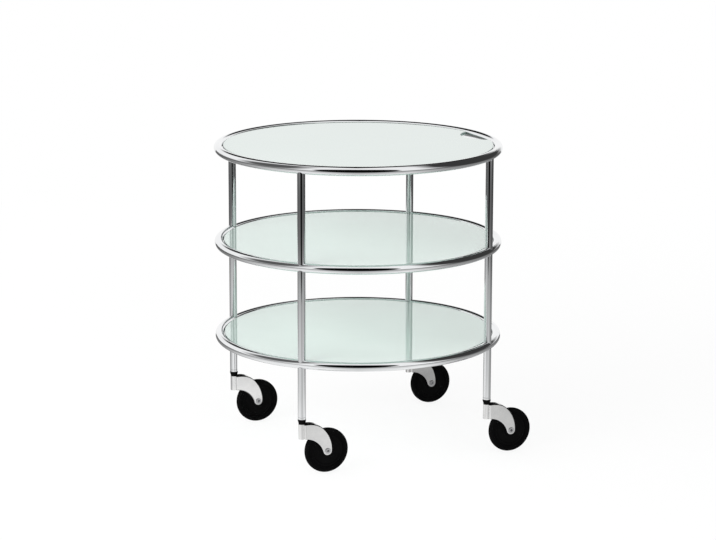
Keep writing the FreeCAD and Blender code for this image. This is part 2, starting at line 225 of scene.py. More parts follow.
def mesh_of(name: str, points: np.ndarray, faces: np.ndarray) -> bpy.types.Object:
    """Smooth mesh object at the origin, linked to the scene.

    Args:
        name: name of the object and its mesh.
        points: array whose last axis holds the coordinates.
        faces: array (faces, 4) of point numbers.

    Returns:
        The new object.
    """
    flat = np.ascontiguousarray(points.reshape(-1, 3), dtype=np.float32)
    mesh = bpy.data.meshes.new(name)
    mesh.vertices.add(len(flat))
    mesh.vertices.foreach_set("co", flat.ravel())
    mesh.loops.add(faces.size)
    mesh.loops.foreach_set("vertex_index", np.ascontiguousarray(faces, dtype=np.int32).ravel())
    mesh.polygons.add(len(faces))
    mesh.polygons.foreach_set("loop_start", np.arange(0, faces.size, 4, dtype=np.int32))
    mesh.update(calc_edges=True)
    mesh.shade_smooth()
    piece = bpy.data.objects.new(name, mesh)
    bpy.context.scene.collection.objects.link(piece)
    return piece


# Finishes


class Graph:
    """Adds shader nodes to a tree and links them."""

    def __init__(self, tree: bpy.types.NodeTree) -> None:
        """Start from an empty tree."""
        self.tree = tree
        tree.nodes.clear()

    def add(self, kind: str, values: dict[str, object] | None = None,
            **settings: object) -> bpy.types.Node:
        """Add a node.

        Args:
            kind: the node's type.
            values: what its input sockets hold: a value, or a socket to link from.
            **settings: attributes of the node itself.

        Returns:
            The node.
        """
        node = self.tree.nodes.new(kind)
        for key, value in settings.items():
            setattr(node, key, value)
        for key, value in (values or {}).items():
            if isinstance(value, bpy.types.NodeSocket):
                self.tree.links.new(value, node.inputs[key])
            else:
                node.inputs[key].default_value = value
        return node

    def math(self, operation: str, first: object, second: object = 0.0) -> bpy.types.NodeSocket:
        """Result of one arithmetic step on two values or sockets."""
        return self.add("ShaderNodeMath", {0: first, 1: second}, operation=operation).outputs[0]


class Effects:
    """Shader groups that several finishes share, each built once."""

    def __init__(self) -> None:
        """Build the groups."""
        self.tint = self._tint_drift()
        self.grain = self._surface_grain()

    @staticmethod
    def _group(name: str, inputs: dict[str, tuple[str, object]],
               outputs: dict[str, str]) -> tuple[bpy.types.NodeTree, Graph, bpy.types.Node]:
        """Empty group with named sockets.

        Args:
            name: name of the group.
            inputs: socket type and starting value by name.
            outputs: socket type by name.

        Returns:
            The tree, its graph and the node that gives the inputs.
        """
        tree = bpy.data.node_groups.new(name, "ShaderNodeTree")
        for label, (kind, value) in inputs.items():
            socket = tree.interface.new_socket(label, in_out="INPUT", socket_type=kind)
            if value is not None:
                socket.default_value = value
        for label, kind in outputs.items():
            tree.interface.new_socket(label, in_out="OUTPUT", socket_type=kind)
        graph = Graph(tree)
        return tree, graph, graph.add("NodeGroupInput")

    def _tint_drift(self) -> bpy.types.NodeTree:
        """Slow cloudy change between two colours.

        Returns:
            The group, which puts out Colour and the Cloud mask behind it.
        """
        tree, graph, source = self._group(
            "tint_drift",
            {"Vector": ("NodeSocketVector", None), "Scale": ("NodeSocketFloat", 8.0),
             "Shade": ("NodeSocketColor", (0.5, 0.5, 0.5, 1.0)),
             "Light": ("NodeSocketColor", (0.6, 0.6, 0.6, 1.0))},
            {"Colour": "NodeSocketColor", "Cloud": "NodeSocketFloat"})
        cloud = graph.add("ShaderNodeTexNoise", {
            "Vector": source.outputs["Vector"], "Scale": source.outputs["Scale"],
            "Detail": 3.0, "Roughness": 0.55})
        spread = graph.add("ShaderNodeMapRange", {
            "Value": cloud.outputs["Fac"], "From Min": 0.3, "From Max": 0.7})
        blend = graph.add("ShaderNodeMix", {
            "Factor": spread.outputs["Result"], "A": source.outputs["Shade"],
            "B": source.outputs["Light"]}, data_type="RGBA")
        graph.add("NodeGroupOutput", {"Colour": blend.outputs["Result"],
                                      "Cloud": spread.outputs["Result"]})
        return tree

    def _surface_grain(self) -> bpy.types.NodeTree:
        """Fine grain over broad patches, for roughness and height.

        Returns:
            The group, which puts out Roughness and Height.
        """
        tree, graph, source = self._group(
            "surface_grain",
            {"Vector": ("NodeSocketVector", None), "Scale": ("NodeSocketFloat", 400.0),
             "Patch Scale": ("NodeSocketFloat", 20.0), "Base": ("NodeSocketFloat", 0.3),
             "Spread": ("NodeSocketFloat", 0.1)},
            {"Roughness": "NodeSocketFloat", "Height": "NodeSocketFloat"})
        fine = graph.add("ShaderNodeTexNoise", {
            "Vector": source.outputs["Vector"], "Scale": source.outputs["Scale"],
            "Detail": 2.0, "Roughness": 0.6})
        patch = graph.add("ShaderNodeTexNoise", {
            "Vector": source.outputs["Vector"], "Scale": source.outputs["Patch Scale"],
            "Detail": 3.0, "Roughness": 0.5})
        mixed = graph.math("ADD", graph.math("MULTIPLY", fine.outputs["Fac"], FINE_SHARE),
                           graph.math("MULTIPLY", patch.outputs["Fac"], 1 - FINE_SHARE))
        swing = graph.math("MULTIPLY", graph.math("SUBTRACT", mixed, 0.5), source.outputs["Spread"])
        rough = graph.math("ADD", source.outputs["Base"], swing)
        graph.add("NodeGroupOutput", {"Roughness": rough, "Height": fine.outputs["Fac"]})
        return tree


@dataclass(frozen=True)
class Finish:
    """One procedural finish.

    Attributes:
        slot: where the record names it.
        shade: darker tone of its colour.
        light: lighter tone of its colour.
        tint_scale: size of the cloudy change, per metre.
        roughness: middle roughness.
        spread: how far the roughness swings.
        grain_scale: fineness of the grain, per metre.
        patch_scale: fineness of the broad patches, per metre.
        bump: depth of the grain in metres.
        metallic: 1 for bare metal.
        specular: strength of the gloss of what isn't metal.
        stretch: the grain's scale along X, Y and Z.
    """

    slot: Slot
    shade: tuple[float, float, float]
    light: tuple[float, float, float]
    tint_scale: float
    roughness: float
    spread: float
    grain_scale: float
    patch_scale: float
    bump: float
    metallic: float = 0.0
    specular: float = 0.5
    stretch: tuple[float, float, float] = (1.0, 1.0, 1.0)

    def colour(self, graph: Graph, drift: bpy.types.Node) -> bpy.types.NodeSocket:
        """Colour of the surface, here the drift between its two tones."""
        return drift.outputs["Colour"]

    def constants(self, shader: bpy.types.Node) -> None:
        """Values that are the same all over, set on the shader itself."""
        shader.inputs["Metallic"].default_value = self.metallic
        shader.inputs["Specular IOR Level"].default_value = self.specular

    def make(self, effects: Effects) -> bpy.types.Material:
        """Build the material.

        Args:
            effects: the shared groups.

        Returns:
            The material, named for its slot.
        """
        material = bpy.data.materials.new(self.slot.value)
        material.use_nodes = True
        graph = Graph(material.node_tree)
        place = graph.add("ShaderNodeTexCoord").outputs["Object"]
        drawn = graph.add("ShaderNodeMapping", {"Vector": place, "Scale": self.stretch})
        drift = graph.add("ShaderNodeGroup", node_tree=effects.tint)
        grain = graph.add("ShaderNodeGroup", node_tree=effects.grain)
        links = material.node_tree.links
        links.new(place, drift.inputs["Vector"])
        links.new(drawn.outputs["Vector"], grain.inputs["Vector"])
        drift.inputs["Scale"].default_value = self.tint_scale
        drift.inputs["Shade"].default_value = (*self.shade, 1.0)
        drift.inputs["Light"].default_value = (*self.light, 1.0)
        grain.inputs["Scale"].default_value = self.grain_scale
        grain.inputs["Patch Scale"].default_value = self.patch_scale
        grain.inputs["Base"].default_value = self.roughness
        grain.inputs["Spread"].default_value = self.spread
        bump = graph.add("ShaderNodeBump", {"Height": grain.outputs["Height"], "Strength": 1.0,
                                            "Distance": self.bump})
        shader = graph.add("ShaderNodeBsdfPrincipled", {
            "Base Color": self.colour(graph, drift), "Roughness": grain.outputs["Roughness"],
            "Normal": bump.outputs["Normal"]})
        self.constants(shader)
        graph.add("ShaderNodeOutputMaterial", {"Surface": shader.outputs["BSDF"]})
        return material


@dataclass(frozen=True)
class GlassFinish(Finish):
    """Opal glass: milky faces and a greener ground edge, darkened with painted shade.

    Attributes:
        edge: colour of the ground edge: its real greener tint, darkened as painted shade.
        coat: weight of the pane's second clear surface.
        turn: how upright the surface is, from 0 to 1, where the edge tone starts to give way
            to the milky one, and where it has given way.
    """

    # greener tint of the ground edge, darkened to add painted shade
    edge: tuple[float, float, float] = (0.20, 0.27, 0.25)
    coat: float = 0.5
    turn: tuple[float, float] = (0.6, 0.95)

    def constants(self, shader: bpy.types.Node) -> None:
        """Add the second clear surface of the pane, as a coat as smooth as the first.

        Args:
            shader: the material's shader.
        """
        super().constants(shader)
        shader.inputs["Coat Weight"].default_value = self.coat
        shader.inputs["Coat Roughness"].default_value = self.roughness

    def colour(self, graph: Graph, drift: bpy.types.Node) -> bpy.types.NodeSocket:
        """Drifting milky tone on the flat faces, edge tone (greener, darkened with painted shade)
        where the surface turns away from Z.

        Args:
            graph: the material's graph.
            drift: the node that gives the milky tone.

        Returns:
            The colour.
        """
        normal = graph.add("ShaderNodeTexCoord").outputs["Normal"]
        upright = graph.add("ShaderNodeSeparateXYZ", {"Vector": normal}).outputs["Z"]
        flat = graph.add("ShaderNodeMapRange", {
            "Value": graph.math("ABSOLUTE", upright), "From Min": self.turn[0],
            "From Max": self.turn[1]})
        # painted shade: the dark edge tone takes over where the surface is upright
        blend = graph.add("ShaderNodeMix", {
            "Factor": flat.outputs["Result"], "A": (*self.edge, 1.0),
            "B": drift.outputs["Colour"]}, data_type="RGBA")
        return blend.outputs["Result"]


@dataclass(frozen=True)
class RubberFinish(Finish):
    """Black rubber, greyer where the tread has rolled.

    Attributes:
        worn: colour of the rolled tread.
    """

    worn: tuple[float, float, float] = (0.005, 0.005, 0.005)

    def colour(self, graph: Graph, drift: bpy.types.Node) -> bpy.types.NodeSocket:
        """Rubber tone, mixed with the worn tone by the piece's tread attribute and the cloud.

        Args:
            graph: the material's graph.
            drift: the node that gives the rubber tone.

        Returns:
            The colour.
        """
        tread = graph.add("ShaderNodeAttribute", attribute_name="tread").outputs["Fac"]
        mask = graph.math("MULTIPLY", tread, drift.outputs["Cloud"])
        blend = graph.add("ShaderNodeMix", {
            "Factor": mask, "A": drift.outputs["Colour"], "B": (*self.worn, 1.0)}, data_type="RGBA")
        return blend.outputs["Result"]


FINISHES: tuple[Finish, ...] = (
    Finish(Slot.CHROME, shade=(0.80, 0.81, 0.82), light=(0.86, 0.87, 0.88), tint_scale=9.0,
           roughness=0.045, spread=0.05, grain_scale=1500.0, patch_scale=30.0, bump=1.5e-7,
           metallic=1.0),
    GlassFinish(Slot.GLASS, shade=(0.612, 0.722, 0.678), light=(0.645, 0.750, 0.708),
                tint_scale=5.0, roughness=0.0022, spread=0.002, grain_scale=900.0,
                patch_scale=14.0, bump=2.0e-8),
    Finish(Slot.FORK, shade=(0.76, 0.76, 0.76), light=(0.84, 0.84, 0.83), tint_scale=60.0,
           roughness=0.14, spread=0.10, grain_scale=2200.0, patch_scale=90.0, bump=2.0e-6,
           metallic=1.0),
    Finish(Slot.STEEL, shade=(0.50, 0.50, 0.51), light=(0.62, 0.62, 0.63), tint_scale=90.0,
           roughness=0.26, spread=0.18, grain_scale=900.0, patch_scale=120.0, bump=2.0e-6,
           metallic=1.0, stretch=(0.2, 0.2, 4.0)),
    Finish(Slot.PLASTIC, shade=(0.0022, 0.0022, 0.0023), light=(0.0030, 0.0030, 0.0031),
           tint_scale=70.0, roughness=0.46, spread=0.16, grain_scale=2600.0, patch_scale=80.0,
           bump=6.0e-6, specular=0.03),
    RubberFinish(Slot.RUBBER, shade=(0.0020, 0.0020, 0.0021), light=(0.0028, 0.0028, 0.0029),
                 tint_scale=60.0, roughness=0.68, spread=0.2, grain_scale=1800.0,
                 patch_scale=60.0, bump=1.2e-5, specular=0.03),
    Finish(Slot.SILICONE, shade=(0.70, 0.72, 0.71), light=(0.80, 0.82, 0.81), tint_scale=120.0,
           roughness=0.5, spread=0.15, grain_scale=1500.0, patch_scale=100.0, bump=4.0e-6),
)


class Wardrobe:
    """Every finish as a material, and what wears it."""

    def __init__(self) -> None:
        """Build the materials."""
        effects = Effects()
        self.materials = {finish.slot: finish.make(effects) for finish in FINISHES}

    def dress(self, piece: bpy.types.Object, slot: Slot) -> bpy.types.Object:
        """Put a finish on all of a piece.

        Args:
            piece: the mesh object.
            slot: which finish.

        Returns:
            The same object.
        """
        piece.data.materials.clear()
        piece.data.materials.append(self.materials[slot])
        return piece

    def fit(self, piece: bpy.types.Object, slot: Slot, body: str, *nodes: str) -> bpy.types.Object:
        """Dress a new piece, let it ride on a body and stand for the solids it covers.

        Args:
            piece: the mesh object.
            slot: which finish.
            body: the body that carries it.
            *nodes: the solids that it stands for.

        Returns:
            The same object.
        """
        self.dress(piece, slot)
        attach(piece, body)
        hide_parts(*nodes)
        LOG.info("%s rides on %s for %s", piece.name, body, ", ".join(nodes))
        return piece


# Sub-assemblies


@dataclass
class Cage:
    """Three bent tube rings, the posts between them and the legs below.

    Attributes:
        ring_radius: centreline of a ring.
        tube_radius: outside radius of the ring tube.
        post_radius: outside radius of a post.
        post_wall: wall of a post.
        edge: rounding of a post's ends.
        bulge: share of that rounding taken off at its middle.
        leg_end: height of a leg's lower end.
        ferrule: height of the fine groove above it.
        groove: depth of that groove.
        first_post: angle of the first post.
        ring_steps: points round a ring.
        section_steps: points round a tube.
    """

    ring_radius: float = 0.250
    tube_radius: float = 0.008
    post_radius: float = 0.007
    post_wall: float = 0.0015
    edge: float = 0.0003
    bulge: float = 0.3
    leg_end: float = 0.0998
    ferrule: float = 0.004
    groove: float = 0.00018
    first_post: float = 45.0
    ring_steps: int = 360
    section_steps: int = 48

    def post_angles(self) -> np.ndarray:
        """Angles of the four posts about the table's axis."""
        return np.radians(self.first_post + 90.0 * np.arange(4))

    def post_foot(self, angle: float) -> np.ndarray:
        """Point on the floor below a post."""
        return self.ring_radius * np.array((math.cos(angle), math.sin(angle), 0.0))

    def ring(self, tier: Tier) -> bpy.types.Object:
        """Bent tube: a circle carried round the table's axis.

        Args:
            tier: the ring's level.

        Returns:
            The new object.
        """
        axis = Axis(np.zeros(3), UP, AHEAD)
        section = circle_loop(self.tube_radius, (self.ring_radius, tier.value), self.section_steps)
        points = axis.carry(section, self.ring_steps)
        return mesh_of(f"{tier.name.lower()}_rim", points, loop_faces(points))

    def saddle(self, offset: np.ndarray) -> np.ndarray:
        """Height of the ring tube's skin above its centreline.

        With d the distance of a point from the ring's centreline, seen from above, the height is
        the root of the tube radius squared less d squared.

        Args:
            offset: array (..., 2) of points from a post's axis, outwards and along the ring.

        Returns:
            Array of heights.
        """
        reach = np.hypot(self.ring_radius + offset[..., 0], offset[..., 1]) - self.ring_radius
        return np.sqrt(self.tube_radius ** 2 - reach ** 2)

    def tube(self, name: str, angle: float, low: float | None, high: float) -> bpy.types.Object:
        """Upright tube, coped to the ring at its top, and at its foot or square there.

        Point (a, s) lies at radius r(s) and angle a about the post's axis. Its height runs from
        the foot to the top, both of which follow the ring's skin at that radius and angle.

        Args:
            name: name of the piece.
            angle: where the post stands, in radians.
            low: centreline height of the ring below, or None for a leg.
            high: centreline height of the ring above.

        Returns:
            The new object.
        """
        outer, inner, edge = self.post_radius, self.post_radius - self.post_wall, self.edge
        nip = self.bulge * edge
        rim = np.array(((outer, 2 * edge), (outer, edge), (outer - nip, nip), (outer - edge, 0.0),
                        (inner + edge, 0.0), (inner, edge), (inner, 2 * edge)))
        foot = rim[::-1]
        if low is None:
            step, cut = self.ferrule, self.groove
            ring_cut = np.array(((outer, step - 3 * cut), (outer, step - 2 * cut),
                                 (outer - cut, step - cut), (outer - cut, step + cut),
                                 (outer, step + 2 * cut), (outer, step + 3 * cut)))
            foot = np.concatenate((foot, ring_cut))
        turn = np.linspace(0.0, 2 * np.pi, self.section_steps, endpoint=False)[:, None]
        radius = np.concatenate((foot[:, 0], rim[:, 0]))[None, :]
        local = np.stack((radius * np.cos(turn), radius * np.sin(turn)), axis=-1)
        skin = self.saddle(local)
        feet = len(foot)
        start = self.leg_end if low is None else low + skin[:, :feet]
        height = np.empty(skin.shape)
        height[:, :feet] = start + foot[None, :, 1]
        height[:, feet:] = high - skin[:, feet:] - rim[None, :, 1]
        out = np.array((math.cos(angle), math.sin(angle), 0.0))
        points = self.post_foot(angle) + local[..., :1] * out
        points = points + local[..., 1:] * np.cross(UP, out) + height[..., None] * UP
        return mesh_of(name, points, loop_faces(points))

    def build(self, wardrobe: Wardrobe) -> None:
        """Make and dress the rings, posts and legs.

        Args:
            wardrobe: the finishes.
        """
        for tier in Tier:
            node = f"{tier.name.lower()}_ring"
            wardrobe.fit(self.ring(tier), Slot.CHROME, "frame", node)
        spans = (("upper_post", Tier.MIDDLE.value, Tier.TOP.value),
                 ("middle_post", Tier.LOWER.value, Tier.MIDDLE.value),
                 ("leg", None, Tier.LOWER.value))
        for number, angle in enumerate(self.post_angles(), start=1):
            for label, low, high in spans:
                piece = self.tube(f"{label}_tube_{number}", angle, low, high)
                wardrobe.fit(piece, Slot.CHROME, "frame", f"{label}_{number}")


@dataclass
class Caster:
    """Moulded socket, tyre and wheel core of one caster.

    Attributes:
        number: which caster, from 1.
        swivel: point on the swivel axis.
        hub: centre of the wheel.
        spin: direction of the wheel's axle.
        plug_radius: the socket's plug, inside the leg.
        plug_top: height of the plug's upper end.
        bore_radius: the socket's bore for the stem.
        collar_radius: the collar under the leg.
        collar_top: height of the collar's upper face.
        collar_foot: height where the collar starts to taper.
        tip_radius: lower end of the cone below the collar.
        tip: height of that end.
        cone_edge: rounding of that end.
        nick: rounding of the inner corner between collar and plug.
        socket_steps: points round the socket.
        wheel_radius: outside of the tyre.
        wheel_side: half the width of the tyre and the hub.
        seat_radius: where the tyre sits on the core.
        shoulder: rounding of the tyre's shoulders.
        groove: where the step in the tyre's side leaves the side, meets its own floor, leaves
            that and meets the side again, measured outwards from the seat.
        groove_depth: depth of that step.
        mould_line: depth of the line round the tread, and half the width of its floor.
        curve_steps: points along a rounded corner of the tyre.
        rim_side: half the width of the core's rim.
        rim_inside: inner radius of that rim.
        web_side: half the thickness of the web.
        hub_radius: outside of the hub, at the web.
        bush_radius: the hub's bore for the bush.
        lean: how far the faces of the hub and the rim lean.
        crisp: rounding of crisp edges.
        plain: rounding of plain edges.
        soft: rounding of soft edges.
        fillet: rounding beside the web.
        steps: points round the wheel.
    """

    number: int
    swivel: np.ndarray
    hub: np.ndarray
    spin: np.ndarray
    plug_radius: float = 0.0055
    plug_top: float = 0.1298
    bore_radius: float = 0.00405
    collar_radius: float = 0.00725
    collar_top: float = 0.0998
    collar_foot: float = 0.0973
    tip_radius: float = 0.0055
    tip: float = 0.0913
    cone_edge: float = 0.0005
    nick: float = 0.0001
    socket_steps: int = 72
    wheel_radius: float = 0.040
    wheel_side: float = 0.006
    seat_radius: float = 0.0295
    shoulder: float = 0.0055
    groove: tuple[float, float, float, float] = (0.0012, 0.0016, 0.0034, 0.0038)
    groove_depth: float = 0.0004
    mould_line: float = 0.0001
    curve_steps: int = 13
    rim_side: float = 0.00475
    rim_inside: float = 0.0255
    web_side: float = 0.0035
    hub_radius: float = 0.011
    bush_radius: float = 0.006
    lean: float = 0.001
    crisp: float = 0.0003
    plain: float = 0.0004
    soft: float = 0.0006
    fillet: float = 0.0012
    steps: int = 120

    def wheel_axis(self) -> Axis:
        """The axle's line through the middle of the wheel."""
        return Axis(self.hub, self.spin, UP)

    def socket(self) -> bpy.types.Object:
        """Plug, collar and cone with the stem's bore: a rounded outline carried round the swivel.

        Returns:
            The new object.
        """
        outline = rounded_loop([
            (self.bore_radius, self.tip, self.crisp), (self.tip_radius, self.tip, self.cone_edge),
            (self.collar_radius, self.collar_foot, self.soft),
            (self.collar_radius, self.collar_top, self.crisp),
            (self.plug_radius, self.collar_top, self.nick),
            (self.plug_radius, self.plug_top, self.soft),
            (self.bore_radius, self.plug_top, self.crisp)])
        axis = Axis(self.swivel * (1.0 - UP), UP, AHEAD)
        points = axis.carry(outline, self.socket_steps)
        return mesh_of(f"socket_{self.number}", points, loop_faces(points))

    def tyre(self) -> bpy.types.Object:
        """Rubber ring with round shoulders, a step in each side and a fine mould line on the tread.

        The rounded outline is carried round the axle. The tread attribute is 1 on the outer
        surface and falls to 0 over the shoulders.

        Returns:
            The new object.
        """
        side, outer, seat = self.wheel_side, self.wheel_radius, self.seat_radius
        floor, line = side - self.groove_depth, self.mould_line
        fall, low, high, rise = (seat + reach for reach in self.groove)
        half = [(seat, side, self.plain), (fall, side, self.plain), (low, floor, self.crisp),
                (high, floor, self.crisp), (rise, side, self.plain), (outer, side, self.shoulder),
                (outer, 2 * line, line / 4), (outer - line, line, line / 4)]
        outline = rounded_loop(half + mirrored(half), self.curve_steps)
        points = self.wheel_axis().carry(outline, self.steps)
        piece = mesh_of(f"tyre_{self.number}", points, loop_faces(points))
        tread = np.clip((outline[:, 0] - outer + self.shoulder) / self.shoulder, 0.0, 1.0)
        mark = piece.data.attributes.new("tread", "FLOAT", "POINT")
        mark.data.foreach_set("value", np.tile(tread, self.steps).astype(np.float32))
        return piece

    def core(self) -> bpy.types.Object:
        """Moulded core: rim, dished web and hub in one rounded outline carried round the axle.

        Returns:
            The new object.
        """
        web, rim, side = self.web_side, self.rim_side, self.wheel_side
        half = [(self.bush_radius, side, self.crisp),
                (self.hub_radius - self.lean, side, self.soft),
                (self.hub_radius, web, self.fillet),
                (self.rim_inside - self.lean, web, self.fillet),
                (self.rim_inside, rim, self.plain), (self.seat_radius, rim, self.plain)]
        points = self.wheel_axis().carry(rounded_loop(half + mirrored(half)), self.steps)
        return mesh_of(f"wheel_disc_{self.number}", points, loop_faces(points))

    def build(self, wardrobe: Wardrobe) -> None:
        """Make and dress the socket, tyre and core.

        Args:
            wardrobe: the finishes.
        """
        n = self.number
        wardrobe.fit(self.socket(), Slot.PLASTIC, "frame", f"caster_socket_{n}")
        wardrobe.fit(self.tyre(), Slot.RUBBER, f"wheel_{n}", f"wheel_tyre_{n}")
        wardrobe.fit(self.core(), Slot.PLASTIC, f"wheel_{n}", f"wheel_core_{n}")


# Studio


@dataclass(frozen=True)
class Card:
    """Dark oval screen round the set, which only polished surfaces mirror.

    Attributes:
        name: name of the screen.
        azimuth: from and to, in degrees to the right of the camera.
        elevation: from and to, in degrees above the middle of the table.
        distance: how far away it stands.
        tone: its grey level.
        soft: share of its width and height over which the border fades.
    """

    name: str
    azimuth: tuple[float, float]
    elevation: tuple[float, float]
    distance: float
    tone: float
    soft: float

    def cover(self, u: np.ndarray, v: np.ndarray) -> np.ndarray:
        """How solid the screen is: 0 at its oval border, rising to 1 over the soft share.

        Args:
            u: place across the screen, from 0 to 1.
            v: place up the screen, from 0 to 1.

        Returns:
            Array of the same shape.
        """
        inside = (1 - np.hypot(2 * u - 1, 2 * v - 1)) / 2
        return np.clip(inside / self.soft, 0.0, 1.0)


@dataclass(frozen=True)
class Skirt:
    """Dark far floor, and a dark disc under the lowest shelf, which only polished surfaces mirror.

    Attributes:
        tone: grey level of the far floor.
        lift: how far it lies above the floor.
        span: its least and greatest radius.
        steps: points round it and outwards.
        radii: where its clearness is given, from the table's axis.
        clear: how clear it is there.
        angles: where the factor on that is given, in degrees to the right of the camera.
        factor: that factor, greatest straight behind the table.
        clearest: the most that it clears.
        disc_tone: grey level of the disc.
        disc_radius: its radius.
        disc_drop: how far it lies below the lowest ring's centreline.
    """

    tone: float = 0.09
    lift: float = 0.0015
    span: tuple[float, float] = (0.05, 30.0)
    steps: tuple[int, int] = (181, 60)
    radii: tuple[float, ...] = (0.3, 0.5, 0.75, 1.3, 1.7, 2.1, 2.9, 4.0, 30.0)
    clear: tuple[float, ...] = (0.95, 0.80, 0.60, 0.47, 0.32, 0.07, 0.04, 0.40, 0.60)
    angles: tuple[float, ...] = (-167, -152, -120, -75, -40, 0, 40, 75, 105, 152, 167)
    factor: tuple[float, ...] = (30.0, 0.25, 0.35, 1.0, 1.3, 0.8, 1.1, 0.5, 0.35, 0.3, 30.0)
    clearest: float = 0.95
    disc_tone: float = 0.006
    disc_radius: float = 1.4
    disc_drop: float = 0.012

    def cover(self, angle: np.ndarray, radius: np.ndarray) -> np.ndarray:
        """How solid the far floor is.

        It is 1 less the clearness, which runs straight between the given radii, times the factor,
        which runs straight between the given angles.

        Args:
            angle: degrees to the right of the camera.
            radius: distance from the table's axis.

        Returns:
            Array of the same shape.
        """
        clear = np.interp(radius, self.radii, self.clear)
        clear = clear * np.interp(angle, self.angles, self.factor)
        return 1 - np.clip(clear, 0.0, self.clearest)


@dataclass(frozen=True)
class Lamp:
    """Broad lamp that faces the table.

    Attributes:
        name: name of the lamp.
        azimuth: where it hangs, in degrees to the right of the camera.
        elevation: where it hangs, in degrees above the middle of the table.
        distance: how far away it hangs.
        width: its width.
        power: its power, in watts.
        flatness: its height as a share of its width.
    """

    name: str
    azimuth: float
    elevation: float
    distance: float
    width: float
    power: float
    flatness: float = 0.4


